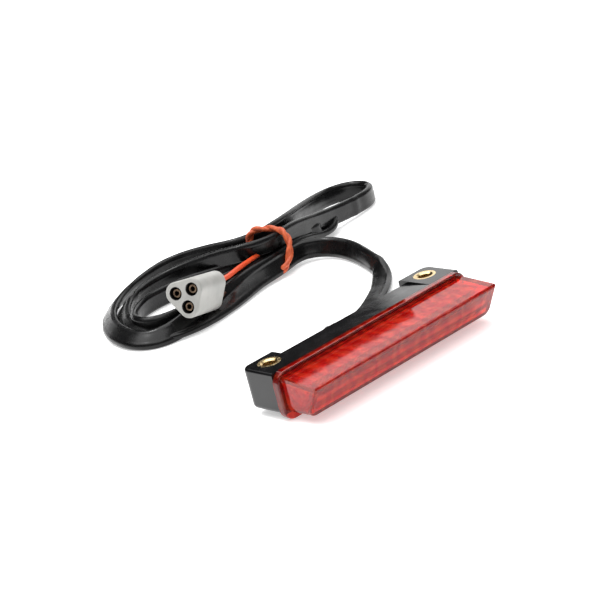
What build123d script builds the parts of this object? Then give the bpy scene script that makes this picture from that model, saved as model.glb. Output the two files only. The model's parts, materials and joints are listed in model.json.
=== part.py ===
from build123d import *
import math
import os

# Motorcycle tail light: a slim red LED lamp with a flat lead wound in a hank.
# Frame: X along the lamp, +Y towards its back, +Z up, the lens faces -Y.
# The origin is the middle of the lamp's footprint, on the surface it stands on.

# ---------------------------------------------------------------- lens
RIM_W, RIM_H = 77.2, 14.6          # lens flange, across and up
RIM_R = 3.5                        # its corner radius
RIM_BACK, RIM_FRONT = 1.4, -0.9    # its two faces along Y
RIM_EDGE = 0.5                     # rounding of its front edge
LENS_HALF = 37.1                   # half width of the lens body
LENS_TOP, LENS_BOTTOM = 13.0, 1.9  # lens body at the flange
RIDGE_Y, RIDGE_Z = -15.2, 11.7     # the foremost edge, high on the lens
TOE_Y = -9.5                       # the front face's lower edge
LENS_CORNER, LENS_EDGE = 2.6, 0.8  # its lower end corners, its front edges
LENS_WALL = 1.5
CAVITY_HALF = LENS_HALF - LENS_WALL
SEAL_HALF, SEAL_LOW, SEAL_HIGH = 37.4, 2.3, 14.1
SEAL_W, SEAL_T, SEAL_R = 0.7, 0.8, 2.6

# ---------------------------------------------------------------- housing
BODY_HALF = 38.3                   # half width of the housing
EAR_BACK, MID_BACK = 15.3, 12.5    # back faces of the two ears and of the middle
EAR_INNER = 26.3                   # where an ear ends towards the middle
BODY_TOP, BODY_BOTTOM = 14.5, 1.9
TOP_FALL, BOTTOM_RISE = 0.8, 0.4   # how far the middle narrows towards its back
EAR_CORNER, EAR_UNDER, TOP_EDGE = 3.0, 1.6, 0.8
BODY_WALL = 1.8
FRONT_LOW, FRONT_HIGH = 3.4, 13.0  # recess round the circuit board
BACK_HALF, BACK_LOW, BACK_HIGH = 25.1, 4.2, 12.2

INSERT_X, INSERT_Y = 32.0, 9.4     # the two threaded inserts
INSERT_R, INSERT_LEN = 3.5, 9.0
INSERT_SPACE = 1.2                 # free depth under an insert
THREAD_R = 2.1                     # M5, at its minor diameter
MOUTH = 0.5                        # chamfer at the mouth of the thread
WAIST_CUT, WAIST_DROP, WAIST_H = 0.5, 4.6, 1.2   # groove round an insert
KNURLS, KNURL_R = 20, 0.28

# ---------------------------------------------------------------- light engine
BOARD_Y, BOARD_T = 2.6, 1.0        # front face of the circuit board, thickness
BOARD_BACK = BOARD_Y + BOARD_T
BOARD_HALF, BOARD_LOW, BOARD_HIGH = 34.8, 3.9, 12.5
LED_COUNT, LED_PITCH, LED_Z = 15, 4.4, 7.5
LED_W, LED_H, LED_T, DOME_R = 2.8, 3.5, 0.9, 1.2
REFLECTOR_GAP, REFLECTOR_BACK = 0.6, 1.2
REFLECTOR_RIDGE, REFLECTOR_TOE, REFLECTOR_FALL = 6.2, 4.6, 0.9   # its front face, behind the lens's
POCKET_BACK, POCKET_FRONT = (3.0, 3.7), (4.1, 5.2)   # mouths of a pocket, across and up
POCKET_REACH, POCKET_FALL = 4.0, 0.5
REFLECTOR_TOP = LENS_TOP - LENS_WALL - REFLECTOR_GAP
REFLECTOR_LOW = LENS_BOTTOM + LENS_WALL + REFLECTOR_GAP
SCREW_X, SCREW_R, SCREW_LEN, SCREW_PLAY = 33.6, 0.6, 3.2, 0.2
HEAD_R, HEAD_T, BOSS_R = 0.95, 0.8, 1.3
RESISTORS, RESISTOR_Z, RESISTOR = (-22.5, -13.6, 13.6, 22.5), 9.6, (3.2, 1.6, 0.6)
DIODES, DIODE_Z, DIODE = (-18.0, 18.0), 6.4, (4.4, 2.6, 1.1)
REGULATOR_X, REGULATOR_Z, REGULATOR = -2.2, 8.2, (4.6, 3.6, 1.5)
LEG_PITCH, LEG_DROP, LEG = 1.6, 2.4, (0.6, 1.3, 0.4)
PAD_X, PAD_PITCH = 6.6, 3.6        # solder pads of the three wires
SOLDER_LOW, SOLDER_HIGH, SOLDER_T = 1.5, 1.05, 0.8

# ---------------------------------------------------------------- lead
SLEEVE_W = 7.0                     # width of the flat sleeve
WIRE_D, WIRE_PITCH = 1.7, 1.9      # the three wires inside it
GROMMET_X, GROMMET_Z = 6.0, 8.0
NECK_W, NECK_H = 10.4, 6.4         # grommet, where it passes the wall
LIP_W, LIP_H, LIP_IN, LIP_OUT = 11.8, 7.2, 1.0, 1.2
NOZZLE_GAP, NOZZLE_W, NOZZLE_H = 0.2, 8.6, 4.8   # its nozzle starts that much under the neck's size
SLOT_EXTRA_W, SLOT_EXTRA_H = 0.8, 0.5   # the wires' slot, over the wires' own size
INNER_STEPS = (0.0, 2.0, 4.6)      # bends of the inner wires, behind the board
INNER_END = 0.9                    # how far they pass the wall
EXIT = (6.0, 20.5, 7.6)            # end of the grommet's nozzle
POTTING = (0.0, 12.4, 6.7)         # potting block, left, right and front

HANK_TOP = 8.0                     # the two eyes of the hank, off the tie
TIE = (49.3, 104.2)                # middle of the hank's tied waist
TIE_TURN = 14.0                    # its direction from +X, degrees
TIE_DEPTH, TIE_LOW, TIE_HIGH = 17.0, 1.8, 14.0
TIE_LEN, TIE_R = 16.0, 3.5
BAND_W, BAND_T = 3.2, 1.6
COLLAR_Z, COLLAR_FRONT, COLLAR_LEN = 6.8, -4.0, 5.0   # collar on the sleeve's end
COLLAR_W, COLLAR_T = 7.8, 3.8
POCKET_GAP = 0.4                   # clearance round the collar

FACE = (-3.1, 85.0, 14.3)          # middle of the connector's face
HEADING, RISE = 207.0, 15.0        # which way it looks, degrees
BLOCK_LEN, LOBE_R, BLOCK_ROUND = 18.0, 3.7, 0.6
LOBE_OUT = 6.0 / math.sqrt(3)      # three contacts 6 mm apart
LOBES = (-81.0, 39.0, 159.0)
SOCKET_R, SOCKET_DEPTH = 2.2, 14.0
TERMINAL_R, TERMINAL_BORE, TERMINAL_SET, BORE_FLOOR = 1.35, 0.85, 0.9, 2.0
SHANK_R, ENTRY_R, ENTRY_DEPTH = 1.0, 1.2, 1.0

# Corner points of the lead's route, and the middle bend of each wire at its far end.
LEAD_ROUTE = [EXIT, (6.0, 26.5, 7.6), (10.0, 32.0, 5.6), (18.0, 33.5, 4.1), (27.5, 35.5, 3.7),
              (37.5, 40.5, 3.7), (47.0, 48.0, 3.7), (54.5, 57.0, 3.7), (59.8, 68.5, 3.7),
              (63.8, 81.0, 3.9), (61.5, 93.5, 4.6), (54.0, 100.0, 5.3)]
WIRE_BENDS = [(28.0, 100.6, 4.4), (29.5, 98.7, 9.3), (28.0, 102.3, 7.8)]
WIRE_LIFTS = (-2.1, 2.1, 0.0)      # where each leaves the sleeve's end
WIRE_LEAD_IN, WIRE_LEAD_OUT = 7.5, 7.0   # straight stretches at the sleeve and at the connector

# Outlines of the hank's two eyes, seen from above.
WIDE_OUTER = [(-22.5, 106.0), (-19.0, 95.5), (-9.0, 89.0), (5.0, 88.0), (20.0, 91.0), (34.0, 95.5),
              (46.0, 97.5), (52.0, 104.0), (48.0, 121.0), (42.0, 134.0), (33.0, 145.5), (20.5, 148.5),
              (5.0, 143.5), (-8.5, 133.5), (-19.0, 120.5)]
WIDE_INNER = [(-7.0, 104.0), (-4.0, 97.5), (6.0, 93.5), (17.0, 93.5), (30.0, 97.5), (39.0, 101.0),
              (38.5, 106.5), (30.0, 109.0), (20.0, 113.0), (9.0, 115.5), (-2.0, 112.5)]
NARROW_OUTER = [(50.0, 99.0), (64.0, 101.0), (80.0, 105.0), (95.0, 111.5), (108.0, 114.5), (116.0, 121.0),
                (115.5, 131.0), (106.0, 138.0), (90.0, 133.5), (76.0, 125.0), (62.0, 117.5), (50.0, 111.0)]


def box(x0, x1, y0, y1, z0, z1):
    size = (x1 - x0, y1 - y0, z1 - z0)
    return Pos((x0 + x1) / 2, (y0 + y1) / 2, (z0 + z1) / 2) * Box(*size)


def side_prism(points, half):
    """Extrude a profile given as (y, z) points along X, to both sides."""
    face = make_face(Polyline(*[(0, y, z) for y, z in points], close=True))
    return extrude(face, half, dir=(1, 0, 0), both=True)


def facing_front(x, y, z):
    """A plane that looks along -Y."""
    return Plane(origin=(x, y, z), x_dir=(1, 0, 0), z_dir=(0, -1, 0))


def front_plate(half_w, z0, z1, radius, y0, y1):
    """A plate with rounded corners that stands in the XZ plane."""
    outline = RectangleRounded(2 * half_w, z1 - z0, radius)
    return extrude(facing_front(0, y1, (z0 + z1) / 2) * outline, y1 - y0)


def round_bar(x, z, radius, y0, y1):
    """A cylinder along Y."""
    return extrude(facing_front(x, y1, z) * Circle(radius), y1 - y0)


def edges_along(shape, axis, test):
    return [e for e in shape.edges().filter_by(axis) if test(e.center())]


# ---------------------------------------------------------------- lens
def lens_body(half, grow):
    """The wedge of the lens; grow is negative for the hollow inside it."""
    top, low = LENS_TOP + grow, LENS_BOTTOM - grow
    ridge = (RIDGE_Y - grow, RIDGE_Z + grow * 1.2)
    profile = [(RIM_BACK, top), (RIM_FRONT, top), ridge, (TOE_Y - grow, low), (RIM_BACK, low)]
    return side_prism(profile, half)


def outer_lens():
    body = lens_body(LENS_HALF, 0)
    lower = [e for e in body.edges() if abs(abs(e.center().X) - LENS_HALF) < 0.01
             and abs(e.center().Z - LENS_BOTTOM) < 0.01]
    body = fillet(lower, LENS_CORNER)
    front = [e for e in body.edges() if e.center().Y < TOE_Y + 0.5 and e.center().Z < RIDGE_Z + 0.2]
    body = fillet(front, LENS_EDGE)
    rim = front_plate(RIM_W / 2, 0, RIM_H, RIM_R, RIM_FRONT, RIM_BACK)
    rim = fillet(rim.faces().sort_by(Axis.Y)[0].edges(), RIM_EDGE)
    return body + rim - lens_body(CAVITY_HALF, -LENS_WALL)


def lens_seal():
    """The bonded bead in the groove between lens flange and housing."""
    outer = front_plate(SEAL_HALF, SEAL_LOW, SEAL_HIGH, SEAL_R, RIM_BACK, RIM_BACK + SEAL_T)
    inner = front_plate(SEAL_HALF - SEAL_W, SEAL_LOW + SEAL_W, SEAL_HIGH - SEAL_W, SEAL_R - SEAL_W,
                        RIM_BACK, RIM_BACK + SEAL_T)
    return outer - inner


# ---------------------------------------------------------------- housing
def ear(side):
    """One end block of the housing, which holds a threaded insert."""
    x0, x1 = sorted((side * EAR_INNER, side * BODY_HALF))
    block = box(x0, x1, RIM_BACK, EAR_BACK, BODY_BOTTOM, BODY_TOP)
    block = fillet(edges_along(block, Axis.Z, lambda c: abs(c.X) > BODY_HALF - 1 and c.Y > EAR_BACK - 1),
                   EAR_CORNER)
    under = [e for e in block.edges() if e.center().Z < BODY_BOTTOM + 0.1 and e.center().Y > EAR_BACK - 0.1]
    return fillet(under, EAR_UNDER)


def grommet_hole():
    return slot_prism(NECK_W, NECK_H, MID_BACK - BODY_WALL - 1, MID_BACK + 1)


def rear_housing():
    body = side_prism([(RIM_BACK, BODY_BOTTOM), (MID_BACK, BODY_BOTTOM + BOTTOM_RISE),
                       (MID_BACK, BODY_TOP - TOP_FALL), (RIM_BACK, BODY_TOP)], EAR_INNER + 1)
    body = body + ear(-1) + ear(1)
    outer = edges_along(body, Axis.Y, lambda c: abs(abs(c.X) - BODY_HALF) < 0.1 and c.Z > BODY_TOP - 0.1)
    body = fillet(outer, TOP_EDGE)
    body -= box(-CAVITY_HALF, CAVITY_HALF, RIM_BACK - 1, BOARD_BACK, FRONT_LOW, FRONT_HIGH)
    body -= box(-BACK_HALF, BACK_HALF, BOARD_BACK - 1, MID_BACK - BODY_WALL, BACK_LOW, BACK_HIGH)
    body -= lens_seal()
    for side in (-1, 1):
        body -= Pos(side * INSERT_X, INSERT_Y, BODY_TOP - (INSERT_LEN + INSERT_SPACE) / 2) \
            * Cylinder(INSERT_R, INSERT_LEN + INSERT_SPACE)
        body -= round_bar(side * SCREW_X, LED_Z, BOSS_R, BOARD_BACK, BOARD_BACK + INSERT_SPACE)
    return body - grommet_hole()


def threaded_insert(x):
    """Knurled brass insert, flush with the ear's top, its thread bore open at the top."""
    low = BODY_TOP - INSERT_LEN
    middle = low + INSERT_LEN / 2
    body = Pos(x, INSERT_Y, middle) * Cylinder(INSERT_R, INSERT_LEN)
    groove = Cylinder(INSERT_R + 1, WAIST_H) - Cylinder(INSERT_R - WAIST_CUT, WAIST_H)
    body -= Pos(x, INSERT_Y, BODY_TOP - WAIST_DROP) * groove
    notch = Cylinder(KNURL_R, INSERT_LEN - WAIST_H)
    for i in range(KNURLS):
        a = 2 * math.pi * i / KNURLS
        at = (x + INSERT_R * math.cos(a), INSERT_Y + INSERT_R * math.sin(a), middle - WAIST_H / 2)
        body -= Pos(*at) * notch
    body -= Pos(x, INSERT_Y, middle) * Cylinder(THREAD_R, INSERT_LEN + 2)
    return body - Pos(x, INSERT_Y, BODY_TOP - MOUTH / 2) * Cone(THREAD_R, THREAD_R + MOUTH, MOUTH)


# ---------------------------------------------------------------- light engine
def led_xs():
    return [(i - (LED_COUNT - 1) / 2) * LED_PITCH for i in range(LED_COUNT)]


def led_board():
    board = box(-BOARD_HALF, BOARD_HALF, BOARD_Y, BOARD_BACK, BOARD_LOW, BOARD_HIGH)
    for side in (-1, 1):
        board -= round_bar(side * SCREW_X, LED_Z, SCREW_R + SCREW_PLAY, BOARD_Y - 1, BOARD_BACK + 1)
    return board


def led(x):
    """A surface-mount package with its clear dome."""
    front = BOARD_Y - LED_T
    body = box(x - LED_W / 2, x + LED_W / 2, front, BOARD_Y, LED_Z - LED_H / 2, LED_Z + LED_H / 2)
    behind = box(x - LED_W, x + LED_W, front, front + LED_W, LED_Z - LED_W, LED_Z + LED_W)
    return body + (Pos(x, front, LED_Z) * Sphere(DOME_R) - behind)


def reflector():
    """Metallised frame with one flared pocket per LED, cut parallel to the lens front."""
    low, top, back = REFLECTOR_LOW, REFLECTOR_TOP, REFLECTOR_BACK
    ridge, toe = (RIDGE_Y + REFLECTOR_RIDGE, top - REFLECTOR_FALL), (TOE_Y + REFLECTOR_TOE, low)
    block = side_prism([(back, low), (back, top), ridge, toe], CAVITY_HALF - REFLECTOR_GAP)
    for x in led_xs():
        small = facing_front(x, back + 0.1, LED_Z) * Rectangle(*POCKET_BACK)
        large = facing_front(x, RIDGE_Y + POCKET_REACH, LED_Z - POCKET_FALL) * Rectangle(*POCKET_FRONT)
        block -= loft([small, large])
    for side in (-1, 1):
        block += round_bar(side * SCREW_X, LED_Z, BOSS_R, back, BOARD_Y)
        block -= round_bar(side * SCREW_X, LED_Z, SCREW_R, BOARD_BACK - SCREW_LEN, BOARD_Y)
    return block


def board_screw(side):
    """Self-tapping screw through the board into the back of the reflector."""
    head = round_bar(side * SCREW_X, LED_Z, HEAD_R, BOARD_BACK, BOARD_BACK + HEAD_T)
    return head + round_bar(side * SCREW_X, LED_Z, SCREW_R, BOARD_BACK - SCREW_LEN, BOARD_BACK)


def chip(x, z, size):
    """A component on the back of the board; size is across, up and off the board."""
    w, h, t = size
    return box(x - w / 2, x + w / 2, BOARD_BACK, BOARD_BACK + t, z - h / 2, z + h / 2)


def regulator():
    body = chip(REGULATOR_X, REGULATOR_Z, REGULATOR)
    for i in (-1, 0, 1):
        body += chip(REGULATOR_X + LEG_PITCH * i, REGULATOR_Z - LEG_DROP, LEG)
    return body


# ---------------------------------------------------------------- lead in the housing
def slot_prism(width, height, y0, y1):
    """A bar of slot section along Y, on the grommet's axis."""
    return extrude(facing_front(GROMMET_X, y1, GROMMET_Z) * SlotOverall(width, height), y1 - y0)


def cable_grommet():
    """Rubber grommet: lips on both sides of the wall, and a tapered nozzle."""
    inside = MID_BACK - BODY_WALL
    lip = MID_BACK + LIP_OUT
    body = slot_prism(NECK_W, NECK_H, inside, MID_BACK) + slot_prism(LIP_W, LIP_H, MID_BACK, lip)
    body += slot_prism(LIP_W, LIP_H, inside - LIP_IN, inside)
    start = facing_front(GROMMET_X, lip, GROMMET_Z) * SlotOverall(NECK_W - NOZZLE_GAP, NECK_H - NOZZLE_GAP)
    body += loft([start, facing_front(*EXIT) * SlotOverall(NOZZLE_W, NOZZLE_H)])
    return body - slot_prism(3 * WIRE_PITCH + SLOT_EXTRA_W, WIRE_D + SLOT_EXTRA_H,
                             inside - LIP_IN - 1, MID_BACK + INNER_END)


def tube(points, diameter, name):
    """A round cord along straight runs joined by the largest tangent arcs."""
    runs = [Vector(*b) - Vector(*a) for a, b in zip(points, points[1:])]
    radii = []
    for first, second in zip(runs, runs[1:]):
        turn = math.radians(first.get_angle(second))
        radii.append(0.45 * min(first.length, second.length) / math.tan(turn / 2))
    path = FilletPolyline(*points, radius=radii)
    solid = sweep(Plane(origin=points[0], z_dir=runs[0]) * Circle(diameter / 2), path=path)
    ideal = math.pi * diameter ** 2 / 4 * path.length
    print(name, "radii", [round(r, 1) for r in radii], "runs", [round(r.length, 1) for r in runs])
    print(name, "length", round(path.length, 1), "volume ratio", round(solid.volume / ideal, 4))
    return solid


def inner_wire(side):
    """A wire from its pad on the board into the grommet; side is -1, 0 or 1."""
    pad_x, slot_x = PAD_X + PAD_PITCH * side, GROMMET_X + WIRE_PITCH * side
    ys = [BOARD_BACK + step for step in INNER_STEPS] + [MID_BACK + INNER_END]
    points = [(x, y, GROMMET_Z) for x, y in zip((pad_x, pad_x, slot_x, slot_x), ys)]
    return tube(points, WIRE_D, "inner wire")


def solder_joint(side):
    """The solder cone on the board round the start of an inner wire."""
    pad = Pos(PAD_X + PAD_PITCH * side, BOARD_BACK + SOLDER_T / 2, GROMMET_Z)
    return pad * Rot(-90, 0, 0) * Cone(SOLDER_LOW, SOLDER_HIGH, SOLDER_T) - inner_wire(side)


def potting_block():
    left, right, front = POTTING
    block = box(left, right, front, MID_BACK - BODY_WALL - LIP_IN, BACK_LOW, BACK_HIGH)
    for side in (-1, 0, 1):
        block -= inner_wire(side)
    return block


# ---------------------------------------------------------------- hank
def along_tie(distance):
    """A plane across the hank at its tie, that far along it."""
    c, s = math.cos(math.radians(TIE_TURN)), math.sin(math.radians(TIE_TURN))
    origin = (TIE[0] + distance * c, TIE[1] + distance * s, 0)
    return Plane(origin=origin, x_dir=(-s, c, 0), z_dir=(c, s, 0))


def tie_block(grow, length):
    """The bundle at the tie: a rounded block along the hank."""
    section = RectangleRounded(TIE_DEPTH + 2 * grow, TIE_HIGH - TIE_LOW + 2 * grow, TIE_R + grow)
    plane = along_tie(-length / 2)
    return extrude(plane * Pos(0, (TIE_LOW + TIE_HIGH) / 2) * section, length)


def flat_slot(distance, length, width, thickness):
    """A bar of slot section on edge along the tie, round the sleeve's end."""
    section = Pos(0, COLLAR_Z) * Rot(0, 0, 90) * SlotOverall(width, thickness)
    return extrude(along_tie(distance) * section, length)


def sleeve_collar():
    """Shrink tube on the sleeve's end, where the three wires leave it."""
    return flat_slot(COLLAR_FRONT, COLLAR_LEN, COLLAR_W, COLLAR_T)


def eye(points, high):
    return extrude(make_face(Spline(*points, periodic=True)), high)


def cable_hank():
    """The outer shape of the wound lead: a wide eye, the tied waist and a narrow eye."""
    eyes = eye(WIDE_OUTER, HANK_TOP) - eye(WIDE_INNER, HANK_TOP) + eye(NARROW_OUTER, HANK_TOP)
    body = eyes - tie_block(2 * BAND_T, BAND_W) + tie_block(0, TIE_LEN)
    depth = TIE_LEN / 2 + COLLAR_FRONT + COLLAR_LEN + 4
    body -= flat_slot(-TIE_LEN / 2 - 4, depth, COLLAR_W + 2 * POCKET_GAP, COLLAR_T + 2 * POCKET_GAP)
    lower_wire = lobe_bar(0, WIRE_D / 2 + POCKET_GAP, BLOCK_LEN, BLOCK_LEN + WIRE_LEAD_OUT + 2)
    return body - connector_block(POCKET_GAP) - lower_wire


def cable_sleeve(hank):
    """The lead from the grommet to where the hank takes it in."""
    outside = tube(LEAD_ROUTE, SLEEVE_W, "sleeve") - hank
    return outside.solids().sort_by(SortBy.VOLUME)[-1]


def rubber_band():
    return tie_block(BAND_T, BAND_W) - tie_block(0, BAND_W + 2)


# ---------------------------------------------------------------- connector
def connector_plane(depth):
    """A plane across the connector, that deep behind its face, looking out of it."""
    head, rise = math.radians(HEADING), math.radians(RISE)
    out = Vector(math.cos(head) * math.cos(rise), math.sin(head) * math.cos(rise), math.sin(rise))
    return Plane(origin=Vector(*FACE) - out * depth, x_dir=(-math.sin(head), math.cos(head), 0), z_dir=out)


def lobe(index):
    a = math.radians(LOBES[index])
    return LOBE_OUT * math.cos(a), LOBE_OUT * math.sin(a)


def lobe_bar(index, radius, start, end):
    """A round bar on a contact's axis, between two depths."""
    return extrude(connector_plane(end) * Pos(*lobe(index)) * Circle(radius), end - start)


def connector_block(grow):
    circles = Sketch() + [Pos(*lobe(i)) * Circle(LOBE_R + grow) for i in range(3)]
    return extrude(connector_plane(BLOCK_LEN + grow) * make_hull(circles.edges()), BLOCK_LEN + 2 * grow)


def connector_housing():
    """Nylon three-way block with a socket well, a through hole and a wire entry per contact."""
    block = connector_block(0)
    rims = block.faces().sort_by(connector_plane(0).location.z_axis)
    block = fillet(rims[0].edges() + rims[-1].edges(), BLOCK_ROUND)
    for i in range(3):
        block -= lobe_bar(i, SOCKET_R, -1, SOCKET_DEPTH)
        block -= lobe_bar(i, SHANK_R, SOCKET_DEPTH - 1, BLOCK_LEN)
        block -= lobe_bar(i, ENTRY_R, BLOCK_LEN - ENTRY_DEPTH, BLOCK_LEN + 1)
    return block


def socket_terminal(index):
    """Pin socket: an open barrel in the well and a shank through the block's back."""
    barrel = lobe_bar(index, TERMINAL_R, TERMINAL_SET, SOCKET_DEPTH)
    barrel += lobe_bar(index, SHANK_R, SOCKET_DEPTH - 1, BLOCK_LEN - ENTRY_DEPTH)
    return barrel - lobe_bar(index, TERMINAL_BORE, 0, SOCKET_DEPTH - BORE_FLOOR)


def connector_wire(index):
    """A wire from the sleeve's end to the back of the connector."""
    at_sleeve = (0, COLLAR_Z + WIRE_LIFTS[index], 0)
    points = [along_tie(COLLAR_FRONT - d).from_local_coords(at_sleeve) for d in (0, WIRE_LEAD_IN)]
    points.append(WIRE_BENDS[index])
    at_block = (*lobe(index), 0)
    points += [connector_plane(BLOCK_LEN + d).from_local_coords(at_block)
               for d in (WIRE_LEAD_OUT, -ENTRY_DEPTH)]
    points = [tuple(p) for p in points]
    print("wire", index + 1, [tuple(round(v, 1) for v in p) for p in points])
    return tube(points, WIRE_D, "wire %d" % (index + 1))


def all_parts():
    parts = {"rear_housing": rear_housing(), "outer_lens": outer_lens(), "lens_seal": lens_seal(),
             "threaded_insert_left": threaded_insert(-INSERT_X),
             "threaded_insert_right": threaded_insert(INSERT_X),
             "reflector": reflector(), "led_board": led_board(), "regulator": regulator(),
             "board_screws": Compound(children=[board_screw(-1), board_screw(1)]),
             "cable_grommet": cable_grommet(), "potting_block": potting_block(),
             "solder_joints": Compound(children=[solder_joint(side) for side in (-1, 0, 1)])}
    for i, x in enumerate(led_xs()):
        parts["led_%02d" % (i + 1)] = led(x)
    for i, x in enumerate(RESISTORS):
        parts["resistor_%d" % (i + 1)] = chip(x, RESISTOR_Z, RESISTOR)
    for i, x in enumerate(DIODES):
        parts["diode_%d" % (i + 1)] = chip(x, DIODE_Z, DIODE)
    for i in range(3):
        parts["inner_wire_%d" % (i + 1)] = inner_wire(i - 1)
        parts["connector_wire_%d" % (i + 1)] = connector_wire(i)
        parts["socket_terminal_%d" % (i + 1)] = socket_terminal(i)
    hank = cable_hank()
    parts.update({"cable_hank": hank, "cable_sleeve": cable_sleeve(hank),
                  "sleeve_collar": sleeve_collar(), "rubber_band": rubber_band(),
                  "connector_housing": connector_housing()})
    return parts


if __name__ == "__main__":
    os.makedirs("parts", exist_ok=True)
    for node, shape in all_parts().items():
        export_step(shape, f"parts/{node}.step")
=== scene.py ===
import json
import math

import bpy
from mathutils import Matrix, Vector, noise


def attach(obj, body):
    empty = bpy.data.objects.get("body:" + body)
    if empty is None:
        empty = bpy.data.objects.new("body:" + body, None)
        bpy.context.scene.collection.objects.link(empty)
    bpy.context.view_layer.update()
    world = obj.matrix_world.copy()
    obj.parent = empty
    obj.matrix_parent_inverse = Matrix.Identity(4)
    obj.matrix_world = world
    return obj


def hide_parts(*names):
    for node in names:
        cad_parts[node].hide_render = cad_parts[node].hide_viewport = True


# Tail light with a flat lead wound in a hank. Metres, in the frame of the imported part:
# X along the lamp, +Y towards its back, +Z up, and the surface it lies on is z = 0.

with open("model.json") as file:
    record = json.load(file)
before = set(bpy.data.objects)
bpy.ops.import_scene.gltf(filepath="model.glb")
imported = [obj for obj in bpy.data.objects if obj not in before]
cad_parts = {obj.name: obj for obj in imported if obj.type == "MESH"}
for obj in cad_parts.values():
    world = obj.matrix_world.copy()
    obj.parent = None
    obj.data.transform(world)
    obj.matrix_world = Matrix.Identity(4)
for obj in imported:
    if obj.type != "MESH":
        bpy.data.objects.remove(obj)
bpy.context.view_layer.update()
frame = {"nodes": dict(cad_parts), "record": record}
nodes = frame["nodes"]

# ---------------------------------------------------------------- studio values
CAMERA_AT = (-0.3247, -0.3988, 0.2025)
CAMERA_LOOK = (0.57060, 0.75424, -0.32486)
CAMERA_ROLL = 14.67                    # degrees
CAMERA_LENS = 114.0                    # millimetres, as the sensor is
CAMERA_SENSOR = 36
CAMERA_NEAR, CAMERA_FAR = 0.02, 20

WORLD_LIGHT = 0.22
# Softboxes: name, place, what they point at, width, height, radiance.
LIGHTS = [("top", (0.0, 0.2, 1.4), (0.03, 0.07, 0), 2.2, 2.2, 2.4),
          ("backdrop", (1.25, 1.60, 0.85), (0.03, 0.07, 0.2), 3.6, 1.5, 1.3),
          ("spark", (-0.20, 0.45, 1.0), (0.03, 0.07, 0), 0.10, 0.10, 70.0)]
# Corners of a black card behind the part, which only its gloss sees.
FLAG = [(-0.30, 0.35, 0.06), (0.262, 0.35, 0.06), (0.352, 0.35, 0.275), (-0.30, 0.35, 0.275)]
FLOOR_HALF, FLOOR_GLOW = 6.0, 0.45

# ---------------------------------------------------------------- values of the surfaces
NOISE_MIDDLE = (0.35, 0.65)            # the part of a noise that a colour's change takes up
NOISE_WIDE = (0.3, 0.7)                # and the part that a roughness's change takes up

FLUTE_PITCH, FLUTE_SLANT = 0.0044, 24  # painted streaks of light and shade in the lens: metres, degrees
FLUTE_RAGGED, FLUTE_DETAIL, FLUTE_DETAIL_SCALE = 7.0, 3.0, 2.6
FLUTE_RAMP = (0.25, 0.95)
# The streaks' painted shade and painted light: the two reds the lens's colour runs between.
FLUTE_PAINTED_SHADE, FLUTE_PAINTED_LIGHT = (0.74, 0.014, 0.009), (1.0, 0.075, 0.024)
WAVE_TURN = 20                         # radians that a wave texture of scale 1 turns in a metre

HOLE_REACH = 0.006                     # how far the painted shade in the connector's holes reaches
HOLE_RAMP, HOLE_SHADE = (0.45, 0.80), 0.03

# ---------------------------------------------------------------- the lead's sizes and route
SLEEVE_WIDE, SLEEVE_THICK = 0.0070, 0.0030
SLEEVE_STEPS = 10                      # rings from one point of the route to the next
SECTION_POINTS = 36
EDGE_POWERS = (0.62, 0.80)             # under 1, they square the section up across and through it
WIRE_COUNT, RIDGE = 3, 0.07            # a faint ridge over each wire in the sleeve
LUMP, LUMP_SCALE = 0.00012, 160        # unevenness of its skin

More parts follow.
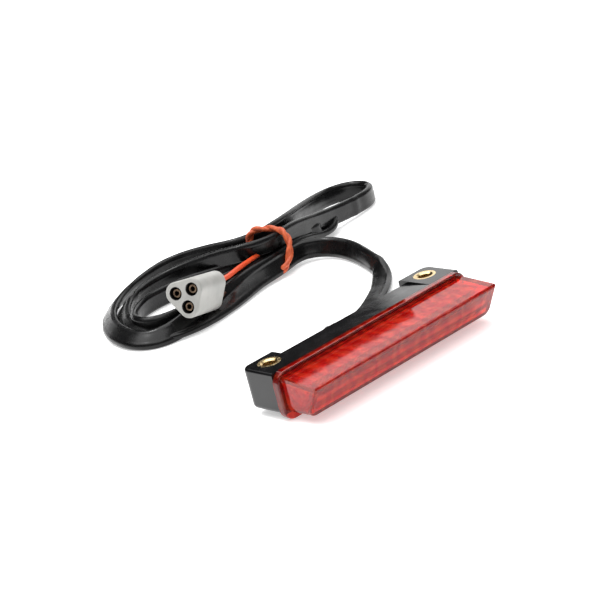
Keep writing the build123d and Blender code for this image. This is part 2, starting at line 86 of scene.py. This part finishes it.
# The sleeve's route: x, y, z and its lean in degrees, 0 flat and 90 on edge.
SLEEVE = [
    # grommet to the hank
    (0.0060, 0.0205, 0.0076, 0), (0.0060, 0.0258, 0.0066, 0), (0.0095, 0.0292, 0.0036, 2),
    (0.0165, 0.0306, 0.0017, 1), (0.0250, 0.0336, 0.0016, 2), (0.0345, 0.0385, 0.0016, 2),
    (0.0435, 0.0445, 0.0017, 3), (0.0505, 0.0510, 0.0019, 6), (0.0552, 0.0572, 0.0030, 62),
    (0.0590, 0.0665, 0.0036, 76), (0.0635, 0.0785, 0.0037, 66), (0.0643, 0.0888, 0.0040, 70),
    (0.0615, 0.0955, 0.0044, 80),
    # through the tie, low and in front, into the second left ring
    (0.0560, 0.0984, 0.0047, 85), (0.0455, 0.0958, 0.0044, 70), (0.0340, 0.0965, 0.0034, 40),
    (0.0200, 0.0922, 0.0020, 15), (0.0060, 0.0893, 0.0018, 8), (-0.0060, 0.0903, 0.0018, 0),
    (-0.0132, 0.0965, 0.0024, 5), (-0.0128, 0.1060, 0.0029, 25), (-0.0088, 0.1160, 0.0031, 32),
    (-0.0025, 0.1255, 0.0034, 36), (0.0060, 0.1320, 0.0038, 48), (0.0155, 0.1330, 0.0046, 65),
    (0.0250, 0.1270, 0.0066, 78), (0.0325, 0.1150, 0.0096, 76), (0.0385, 0.1035, 0.0113, 70),
    # through the tie, high and in front, into the wide right loop
    (0.0470, 0.0996, 0.0114, 74), (0.0580, 0.1030, 0.0108, 84), (0.0680, 0.1062, 0.0088, 90),
    (0.0770, 0.1094, 0.0068, 90), (0.0870, 0.1120, 0.0052, 90), (0.0980, 0.1138, 0.0042, 90),
    (0.1080, 0.1158, 0.0038, 90), (0.1150, 0.1225, 0.0037, 90), (0.1132, 0.1322, 0.0037, 90),
    (0.1050, 0.1352, 0.0041, 90), (0.0940, 0.1312, 0.0055, 90), (0.0830, 0.1255, 0.0071, 90),
    (0.0720, 0.1190, 0.0087, 90), (0.0620, 0.1142, 0.0098, 90),
    # through the tie, high and behind, into the outer left ring
    (0.0520, 0.1108, 0.0106, 90), (0.0430, 0.1150, 0.0098, 92), (0.0385, 0.1280, 0.0082, 95),
    (0.0315, 0.1400, 0.0060, 98), (0.0205, 0.1430, 0.0044, 118), (0.0085, 0.1400, 0.0036, 136),
    (-0.0036, 0.1318, 0.0034, 140), (-0.0118, 0.1205, 0.0032, 142), (-0.0162, 0.1085, 0.0030, 142),
    (-0.0160, 0.0960, 0.0026, 145), (-0.0085, 0.0900, 0.0030, 125), (0.0050, 0.0925, 0.0042, 112),
    (0.0180, 0.0962, 0.0034, 112), (0.0310, 0.0982, 0.0042, 100),
    # through the tie, low, into the short right loop
    (0.0440, 0.0988, 0.0049, 92), (0.0570, 0.1016, 0.0050, 88), (0.0655, 0.1058, 0.0036, 50),
    (0.0735, 0.1086, 0.0024, 20), (0.0805, 0.1093, 0.0022, 15), (0.0848, 0.1120, 0.0030, 50),
    (0.0838, 0.1166, 0.0036, 86), (0.0755, 0.1170, 0.0038, 90), (0.0635, 0.1136, 0.0046, 90),
    # through the tie, low and behind, into the inner left ring
    (0.0540, 0.1116, 0.0049, 90), (0.0420, 0.1088, 0.0049, 92), (0.0310, 0.1150, 0.0042, 95),
    (0.0200, 0.1220, 0.0037, 98), (0.0070, 0.1230, 0.0036, 100), (-0.0030, 0.1178, 0.0036, 100),
    (-0.0100, 0.1082, 0.0042, 96), (-0.0090, 0.0990, 0.0042, 95), (0.0010, 0.0962, 0.0040, 92),
    (0.0118, 0.0980, 0.0036, 100), (0.0240, 0.1022, 0.0036, 102),
    # through the tie, low, into a small fold behind it
    (0.0390, 0.1052, 0.0046, 92), (0.0520, 0.1082, 0.0049, 90), (0.0620, 0.1098, 0.0044, 90),
    (0.0690, 0.1126, 0.0040, 90), (0.0748, 0.1132, 0.0041, 90), (0.0754, 0.1074, 0.0043, 90),
    (0.0690, 0.1066, 0.0050, 90),
    # into the collar
    (0.0590, 0.1062, 0.0060, 90), (0.0500, 0.1043, 0.0068, 90), (0.0470, 0.1036, 0.0068, 90),
]

# Creases across the sleeve: place, depth, half length along it.
CREASES = [((0.0335, 0.1135, 0.0108), 0.00045, 0.0022), ((0.0372, 0.1058, 0.0118), 0.00035, 0.0016),
           ((0.0660, 0.0925, 0.0042), 0.0004, 0.0020), ((0.0553, 0.0580, 0.0030), 0.0002, 0.0030),
           ((0.0060, 0.1320, 0.0040), 0.0003, 0.0030), ((0.0980, 0.1135, 0.0042), 0.0003, 0.0030)]
CREASE_WAVE = 0.75 * math.pi           # makes the skin swell on both sides of a crease

WIRE_THICK, WIRE_STEPS, WIRE_BEVEL = 0.0017, 16, 6
# The routes of the three loose wires, from the collar to the connector.
WIRES = {
    "connector_wire_1": [(0.0454, 0.1032, 0.0047), (0.0381, 0.1014, 0.0047), (0.0280, 0.1006, 0.0044),
                         (0.0179, 0.0951, 0.0045), (0.0110, 0.0916, 0.0066)],
    "connector_wire_2": [(0.0454, 0.1032, 0.0089), (0.0381, 0.1014, 0.0089), (0.0295, 0.0987, 0.0093),
                         (0.0201, 0.0938, 0.0099), (0.0133, 0.0903, 0.0120)],
    "connector_wire_3": [(0.0454, 0.1032, 0.0068), (0.0381, 0.1014, 0.0068), (0.0280, 0.1023, 0.0078),
                         (0.0172, 0.0990, 0.0090), (0.0103, 0.0955, 0.0111)],
}
WIRE_SLOTS = {"connector_wire_1": "wire_brown", "connector_wire_2": "wire_orange",
              "connector_wire_3": "wire_black"}

# ---------------------------------------------------------------- the tie
TIE = Vector((0.0493, 0.1042, 0.0))
TIE_ANGLE = math.radians(14)
TIE_ALONG = Vector((math.cos(TIE_ANGLE), math.sin(TIE_ANGLE), 0))
TIE_ACROSS = Vector((-math.sin(TIE_ANGLE), math.cos(TIE_ANGLE), 0))
TIE_REACH = 0.009                      # how far along the sleeve the band's squeeze is felt
SQUEEZE_WIDE = 0.11                    # share of its width that the sleeve loses there
SQUEEZE_THICK = SQUEEZE_WIDE / 3
# The band's way round the bundle: across, up, along the tie.
BAND = [(-0.0092, 0.0085, -0.0008), (-0.0078, 0.0128, 0.0006), (-0.0045, 0.0148, 0.0014),
        (0.0010, 0.0152, 0.0010), (0.0065, 0.0152, -0.0004), (0.0082, 0.0105, -0.0010),
        (0.0082, 0.0050, -0.0025), (0.0055, 0.0024, -0.0050), (0.0000, 0.0022, -0.0070),
        (-0.0066, 0.0022, -0.0080), (-0.0094, 0.0034, -0.0055)]
BAND_STRAND = 0.00085                  # radius of one of its two strands
BAND_TURNS = 5                         # whole turns of the strands about each other
BAND_STEPS, BAND_SIDES = 24, 10
# A strand's distance from the band's middle line, in its radii, and the share of it outwards.
BAND_APART, BAND_FLAT = 0.85, 0.55


# ---------------------------------------------------------------- materials
def new_material(name, colour, roughness, **inputs):
    """A Principled material; the rest of its constant sockets by keyword."""
    material = bpy.data.materials.new(name)
    material.use_nodes = True
    shader = material.node_tree.nodes["Principled BSDF"]
    shader.inputs["Base Color"].default_value = (*colour, 1)
    shader.inputs["Roughness"].default_value = roughness
    for key, value in inputs.items():
        shader.inputs[key.replace("_", " ")].default_value = value
    return material


def noise_node(material, scale, detail):
    """A noise texture in the object's own coordinates."""
    tree = material.node_tree
    place = tree.nodes.new("ShaderNodeTexCoord")
    texture = tree.nodes.new("ShaderNodeTexNoise")
    texture.inputs["Scale"].default_value = scale
    texture.inputs["Detail"].default_value = detail
    tree.links.new(place.outputs["Object"], texture.inputs["Vector"])
    return texture


def colour_ramp(material, positions, low, high):
    """A ramp between two colours."""
    ramp = material.node_tree.nodes.new("ShaderNodeValToRGB")
    for stop, position, colour in zip(ramp.color_ramp.elements, positions, (low, high)):
        stop.position = position
        stop.color = (*colour, 1)
    return ramp


def mottle(material, scale, low, high, detail=3):
    """Vary the base colour between two colours."""
    tree = material.node_tree
    texture = noise_node(material, scale, detail)
    ramp = colour_ramp(material, NOISE_MIDDLE, low, high)
    tree.links.new(texture.outputs["Fac"], ramp.inputs["Fac"])
    tree.links.new(ramp.outputs["Color"], tree.nodes["Principled BSDF"].inputs["Base Color"])


def rough(material, scale, low, high):
    """Vary the roughness between two values."""
    tree = material.node_tree
    texture = noise_node(material, scale, 3)
    span = tree.nodes.new("ShaderNodeMapRange")
    span.inputs["From Min"].default_value = NOISE_WIDE[0]
    span.inputs["From Max"].default_value = NOISE_WIDE[1]
    span.inputs["To Min"].default_value = low
    span.inputs["To Max"].default_value = high
    tree.links.new(texture.outputs["Fac"], span.inputs["Value"])
    tree.links.new(span.outputs["Result"], tree.nodes["Principled BSDF"].inputs["Roughness"])


def grain(material, scale, strength, distance=0.0002, detail=4):
    """A fine bump."""
    tree = material.node_tree
    texture = noise_node(material, scale, detail)
    bump = tree.nodes.new("ShaderNodeBump")
    bump.inputs["Strength"].default_value = strength
    bump.inputs["Distance"].default_value = distance
    tree.links.new(texture.outputs["Fac"], bump.inputs["Height"])
    tree.links.new(bump.outputs["Normal"], tree.nodes["Principled BSDF"].inputs["Normal"])


def paint_shade_in_holes(material):
    """Paint shade into a mottled base colour deep in holes: the deeper the ambient occlusion finds
    them, the darker.
    """
    tree = material.node_tree
    colour = tree.nodes["Principled BSDF"].inputs["Base Color"]
    hollow = tree.nodes.new("ShaderNodeAmbientOcclusion")
    hollow.only_local = True
    hollow.inputs["Distance"].default_value = HOLE_REACH
    ramp = colour_ramp(material, HOLE_RAMP, (HOLE_SHADE, HOLE_SHADE, HOLE_SHADE), (1, 1, 1))
    blend = tree.nodes.new("ShaderNodeMix")
    blend.data_type, blend.blend_type = "RGBA", "MULTIPLY"
    blend.inputs["Factor"].default_value = 1.0
    tree.links.new(hollow.outputs["AO"], ramp.inputs["Fac"])
    tree.links.new(colour.links[0].from_socket, blend.inputs["A"])
    tree.links.new(ramp.outputs["Color"], blend.inputs["B"])
    tree.links.new(blend.outputs["Result"], colour)


def lens_material():
    """Clear red acrylic, with slanted streaks of painted light and shade in its colour that stand for
    its inner flutes.
    """
    m = new_material("lens_red", (0.90, 0.030, 0.016), 0.03, IOR=1.49, Transmission_Weight=0.84)
    tree = m.node_tree
    place = tree.nodes.new("ShaderNodeTexCoord")
    mapping = tree.nodes.new("ShaderNodeMapping")
    mapping.inputs["Rotation"].default_value = (0, math.radians(FLUTE_SLANT), 0)
    wave = tree.nodes.new("ShaderNodeTexWave")
    wave.inputs["Scale"].default_value = math.tau / (WAVE_TURN * FLUTE_PITCH)
    wave.inputs["Distortion"].default_value = FLUTE_RAGGED
    wave.inputs["Detail"].default_value = FLUTE_DETAIL
    wave.inputs["Detail Scale"].default_value = FLUTE_DETAIL_SCALE
    # painted light and shade of the flutes, put into the base colour
    ramp = colour_ramp(m, FLUTE_RAMP, FLUTE_PAINTED_SHADE, FLUTE_PAINTED_LIGHT)
    tree.links.new(place.outputs["Object"], mapping.inputs["Vector"])
    tree.links.new(mapping.outputs["Vector"], wave.inputs["Vector"])
    tree.links.new(wave.outputs["Fac"], ramp.inputs["Fac"])
    tree.links.new(ramp.outputs["Color"], tree.nodes["Principled BSDF"].inputs["Base Color"])
    grain(m, 90, 0.05, 0.0002, 2)
    return m


def make_materials():
    """Every slot's material, by the slot's name."""
    made = {"lens": lens_material()}

    m = made["housing"] = new_material("housing_black", (0.006, 0.006, 0.0065), 0.2,
                                       Specular_IOR_Level=0.42)
    mottle(m, 300, (0.004, 0.004, 0.0045), (0.008, 0.008, 0.0085))
    rough(m, 220, 0.10, 0.18)
    grain(m, 1800, 0.06, 0.0001)

    m = made["sealant"] = new_material("sealant_black", (0.015, 0.012, 0.012), 0.5)
    grain(m, 900, 0.3)

    m = made["brass"] = new_material("brass", (0.86, 0.66, 0.34), 0.24, Metallic=1.0)
    mottle(m, 500, (0.80, 0.58, 0.27), (0.90, 0.71, 0.40))
    rough(m, 900, 0.18, 0.34)
    grain(m, 2500, 0.08, 0.0001)

    m = made["reflector"] = new_material("reflector_metal", (0.90, 0.88, 0.86), 0.3, Metallic=0.35)
    mottle(m, 420, (0.55, 0.52, 0.50), (0.98, 0.96, 0.94), 2)
    rough(m, 350, 0.15, 0.4)
    grain(m, 480, 0.9, 0.0010, 2)

    m = made["board"] = new_material("circuit_board", (0.85, 0.85, 0.83), 0.4)
    mottle(m, 700, (0.80, 0.80, 0.78), (0.88, 0.88, 0.86))

    m = made["led"] = new_material("led_package", (0.80, 0.74, 0.60), 0.3)
    mottle(m, 900, (0.85, 0.80, 0.62), (0.75, 0.70, 0.58))

    m = made["chip"] = new_material("chip_black", (0.03, 0.03, 0.032), 0.45)
    grain(m, 3000, 0.2, 0.0001)

    m = made["steel"] = new_material("steel", (0.62, 0.62, 0.62), 0.3, Metallic=1.0)
    rough(m, 900, 0.22, 0.4)

    m = made["grommet"] = new_material("grommet_rubber", (0.02, 0.02, 0.021), 0.55)
    mottle(m, 260, (0.016, 0.016, 0.017), (0.026, 0.026, 0.027))
    grain(m, 1500, 0.25, 0.0001)

    m = made["potting"] = new_material("potting_resin", (0.02, 0.018, 0.016), 0.2)
    grain(m, 300, 0.2)

    m = made["solder"] = new_material("solder", (0.72, 0.72, 0.74), 0.25, Metallic=1.0)
    rough(m, 1200, 0.15, 0.4)

    m = made["sleeve"] = new_material("sleeve_pvc", (0.005, 0.005, 0.005), 0.3, Specular_IOR_Level=0.3)
    mottle(m, 180, (0.003, 0.003, 0.0032), (0.007, 0.007, 0.0072))
    rough(m, 160, 0.18, 0.32)
    grain(m, 1100, 0.10, 0.0001)

    for name, low, high in (("wire_orange", (0.78, 0.075, 0.016), (0.86, 0.10, 0.025)),
                            ("wire_brown", (0.075, 0.028, 0.014), (0.10, 0.038, 0.02)),
                            ("wire_black", (0.010, 0.010, 0.011), (0.016, 0.016, 0.017))):
        m = made[name] = new_material(name, low, 0.35)
        mottle(m, 300, low, high)
        grain(m, 900, 0.1, 0.0001)

    m = made["nylon"] = new_material("nylon_natural", (0.42, 0.42, 0.40), 0.42)
    mottle(m, 160, (0.38, 0.38, 0.36), (0.46, 0.455, 0.43))
    # painted shade deep in the connector's holes
    paint_shade_in_holes(m)
    rough(m, 300, 0.34, 0.5)
    grain(m, 900, 0.12, 0.0001)

    m = made["terminal"] = new_material("terminal_bronze", (0.30, 0.21, 0.14), 0.35, Metallic=1.0)
    mottle(m, 900, (0.22, 0.15, 0.10), (0.40, 0.29, 0.20))

    m = made["band"] = new_material("band_rubber", (0.66, 0.11, 0.03), 0.5)
    mottle(m, 700, (0.52, 0.075, 0.02), (0.74, 0.14, 0.045))
    rough(m, 700, 0.42, 0.6)
    grain(m, 1600, 0.4, 0.0002)
    return made


materials = make_materials()


def dress_cad_nodes():
    """Give each CAD node the material of the record's slot that it has."""
    for entry in frame["record"]["subparts"]:
        mesh = nodes[entry["node"]].data
        mesh.materials.clear()
        mesh.materials.append(materials[entry["material_slot"]])


# ---------------------------------------------------------------- mesh helpers
def finished(name, points, faces, slot):
    """Make a smooth mesh object from points and faces, on the root body."""
    mesh = bpy.data.meshes.new(name)
    mesh.from_pydata([tuple(p) for p in points], [], faces)
    mesh.validate()
    for polygon in mesh.polygons:
        polygon.use_smooth = True
    piece = bpy.data.objects.new(name, mesh)
    bpy.context.scene.collection.objects.link(piece)
    mesh.materials.append(materials[slot])
    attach(piece, "root")
    return piece


def spline_curve(name, points, steps, cyclic=False):
    """A NURBS curve of one spline whose control points are given."""
    data = bpy.data.curves.new(name, "CURVE")
    data.dimensions = "3D"
    data.resolution_u = steps
    spline = data.splines.new("NURBS")
    spline.points.add(len(points) - 1)
    for control, p in zip(spline.points, points):
        control.co = (*p, 1)
    spline.order_u = 3
    spline.use_endpoint_u = not cyclic
    spline.use_cyclic_u = cyclic
    return data


def points_along(points, steps, cyclic=False):
    """Points read along the NURBS spline that has those control points."""
    data = spline_curve("route", points, steps, cyclic)
    carrier = bpy.data.objects.new("route", data)
    bpy.context.scene.collection.objects.link(carrier)
    bpy.context.view_layer.update()
    mesh = bpy.data.meshes.new_from_object(carrier)
    found = [v.co.copy() for v in mesh.vertices]
    bpy.data.objects.remove(carrier)
    bpy.data.meshes.remove(mesh)
    bpy.data.curves.remove(data)
    return found


def directions(path, closed=False):
    """The unit tangent at each point."""
    count = len(path)
    result = []
    for i in range(count):
        after = path[(i + 1) % count] if closed else path[min(i + 1, count - 1)]
        before = path[i - 1] if closed else path[max(i - 1, 0)]
        result.append((after - before).normalized())
    return result


def skin(rings, closed):
    """Faces that join rings of points with the same count, with end caps where it isn't closed."""
    per = len(rings[0])
    faces = []
    last = len(rings) if closed else len(rings) - 1
    for i in range(last):
        a, b = i * per, ((i + 1) % len(rings)) * per
        faces += [(a + j, a + (j + 1) % per, b + (j + 1) % per, b + j) for j in range(per)]
    if not closed:
        faces.append(tuple(range(per - 1, -1, -1)))
        faces.append(tuple((len(rings) - 1) * per + j for j in range(per)))
    return faces


def length_of(path):
    return sum((b - a).length for a, b in zip(path, path[1:]))


# ---------------------------------------------------------------- the lead
def sleeve_section():
    """The flat sleeve's outline: rounded edges and a faint ridge over each of its wires."""
    outline = []
    for i in range(SECTION_POINTS):
        a = math.tau * i / SECTION_POINTS
        x = math.copysign(abs(math.cos(a)) ** EDGE_POWERS[0], math.cos(a))
        y = math.copysign(abs(math.sin(a)) ** EDGE_POWERS[1], math.sin(a))
        ridge = 1 - RIDGE * (1 - math.cos(math.pi * WIRE_COUNT * x))
        outline.append((x * SLEEVE_WIDE / 2, y * ridge * SLEEVE_THICK / 2))
    return outline


def crease_depth(centre):
    """How far the creases near this point of the route press the sleeve in."""
    depth = 0
    for at, deepest, reach in CREASES:
        far = (centre - Vector(at)).length / reach
        depth += deepest * math.cos(CREASE_WAVE * far) * math.exp(-far ** 2)
    return depth


def build_sleeve():
    """Sweep the flat section along the route, leaning, squeezed at the tie and creased."""
    path = points_along([p[:3] for p in SLEEVE], SLEEVE_STEPS)
    leans = [p.x for p in points_along([(p[3], 0, 0) for p in SLEEVE], SLEEVE_STEPS)]
    outline = sleeve_section()
    rings, line = [], []
    for centre, tangent, lean in zip(path, directions(path), leans):
        side = tangent.cross(Vector((0, 0, 1))).normalized()
        up = side.cross(tangent)
        a = math.radians(lean)
        across = side * math.cos(a) + up * math.sin(a)
        through = up * math.cos(a) - side * math.sin(a)
        pull = math.exp(-((centre - TIE).xy.length / TIE_REACH) ** 2)
        dent = crease_depth(centre)
        ring = []
        for x, y in outline:
            p = centre + across * x * (1 - SQUEEZE_WIDE * pull)
            p += through * (y * (1 - SQUEEZE_THICK * pull) - dent)
            outward = 1 if y > 0 else -1
            ring.append(p + through * outward * LUMP * noise.noise(p * LUMP_SCALE))
        lift = Vector((0, 0, max(0, -min(p.z for p in ring))))    # back up onto the floor
        rings.append([p + lift for p in ring])
        line.append(centre + lift)
    points = [p for ring in rings for p in ring]
    piece = finished("cable_sleeve_flat", points, skin(rings, False), "sleeve")
    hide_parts("cable_sleeve", "cable_hank")
    return piece, line


def build_wires():
    """The three loose round wires between the collar and the connector."""
    made = {}
    for name, points in WIRES.items():
        data = spline_curve(name + "_round", points, WIRE_STEPS)
        data.bevel_depth = WIRE_THICK / 2
        data.bevel_resolution = WIRE_BEVEL
        data.use_fill_caps = True
        data.materials.append(materials[WIRE_SLOTS[name]])
        piece = bpy.data.objects.new(name + "_round", data)
        bpy.context.scene.collection.objects.link(piece)
        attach(piece, "root")
        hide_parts(name)
        made[name] = piece
    return made


# ---------------------------------------------------------------- the band
def band_strand(path, phase):
    """The rings of one strand, which winds round the band's middle line."""
    centre = sum(path, Vector()) / len(path)
    rings = []
    for i, (p, tangent) in enumerate(zip(path, directions(path, closed=True))):
        out = p - centre
        out = (out - tangent * out.dot(tangent)).normalized()
        side = tangent.cross(out)
        turn = phase + math.tau * BAND_TURNS * i / len(path)
        offset = out * math.cos(turn) * BAND_FLAT + side * math.sin(turn)
        middle = p + offset * BAND_STRAND * BAND_APART
        ring = []
        for k in range(BAND_SIDES):
            a = math.tau * k / BAND_SIDES + turn
            ring.append(middle + (out * math.cos(a) + side * math.sin(a)) * BAND_STRAND)
        rings.append(ring)
    return rings


def build_band():
    """A rubber band pulled round the bundle, its two strands twisted together."""
    hull = [TIE + TIE_ACROSS * a + TIE_ALONG * d + Vector((0, 0, z)) for a, z, d in BAND]
    path = points_along(hull, BAND_STEPS, cyclic=True)
    points, faces = [], []
    for phase in (0, math.pi):
        rings = band_strand(path, phase)
        start = len(points)
        points += [p for ring in rings for p in ring]
        faces += [tuple(start + v for v in face) for face in skin(rings, True)]
    piece = finished("rubber_band_twisted", points, faces, "band")
    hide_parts("rubber_band")
    return piece


# ---------------------------------------------------------------- studio
def card(name, corners, material):
    """A flat card that is part of the studio."""
    mesh = bpy.data.meshes.new(name)
    mesh.from_pydata(corners, [], [(0, 1, 2, 3)])
    mesh.materials.append(material)
    piece = bpy.data.objects.new(name, mesh)
    bpy.context.scene.collection.objects.link(piece)
    return piece


def place_camera():
    scene = bpy.context.scene
    data = bpy.data.cameras.new("camera")
    data.lens = CAMERA_LENS
    data.sensor_width = CAMERA_SENSOR
    data.clip_start, data.clip_end = CAMERA_NEAR, CAMERA_FAR
    camera = bpy.data.objects.new("camera", data)
    aim = Vector(CAMERA_LOOK).to_track_quat("-Z", "Y").to_matrix().to_4x4()
    roll = Matrix.Rotation(-math.radians(CAMERA_ROLL), 4, "Z")
    camera.matrix_world = Matrix.Translation(CAMERA_AT) @ aim @ roll
    scene.collection.objects.link(camera)
    scene.camera = camera


def place_cards():
    """The white floor, and the black card that only glossy reflections show."""
    white = new_material("paper_white", (0.95, 0.95, 0.95), 0.9, Specular_IOR_Level=0.1,
                         Emission_Color=(1, 1, 1, 1), Emission_Strength=FLOOR_GLOW)
    r = FLOOR_HALF
    card("floor", [(-r, -r, 0), (r, -r, 0), (r, r, 0), (-r, r, 0)], white)
    black = new_material("flag_black", (0.004, 0.004, 0.004), 1.0, Specular_IOR_Level=0.0)
    flag = card("flag", FLAG, black)
    flag.visible_camera = flag.visible_shadow = flag.visible_diffuse = flag.visible_transmission = False


def place_lights():
    scene = bpy.context.scene
    world = bpy.data.worlds.new("studio")
    world.use_nodes = True
    world.node_tree.nodes["Background"].inputs["Color"].default_value = (1, 1, 1, 1)
    world.node_tree.nodes["Background"].inputs["Strength"].default_value = WORLD_LIGHT
    scene.world = world
    for name, at, aim_at, width, height, radiance in LIGHTS:
        light = bpy.data.lights.new(name, "AREA")
        light.shape = "RECTANGLE"
        light.size, light.size_y = width, height
        light.energy = radiance * math.pi * width * height
        lamp = bpy.data.objects.new(name, light)
        lamp.location = at
        lamp.rotation_euler = (Vector(aim_at) - Vector(at)).to_track_quat("-Z", "Y").to_euler()
        scene.collection.objects.link(lamp)


# ---------------------------------------------------------------- assembly
bpy.context.scene.view_settings.view_transform = "Standard"
place_camera()
place_cards()
place_lights()
dress_cad_nodes()
sleeve, sleeve_path = build_sleeve()
wires = build_wires()
band = build_band()
for number, (name, points) in enumerate(WIRES.items(), start=1):
    length_of(points_along(points, WIRE_STEPS))
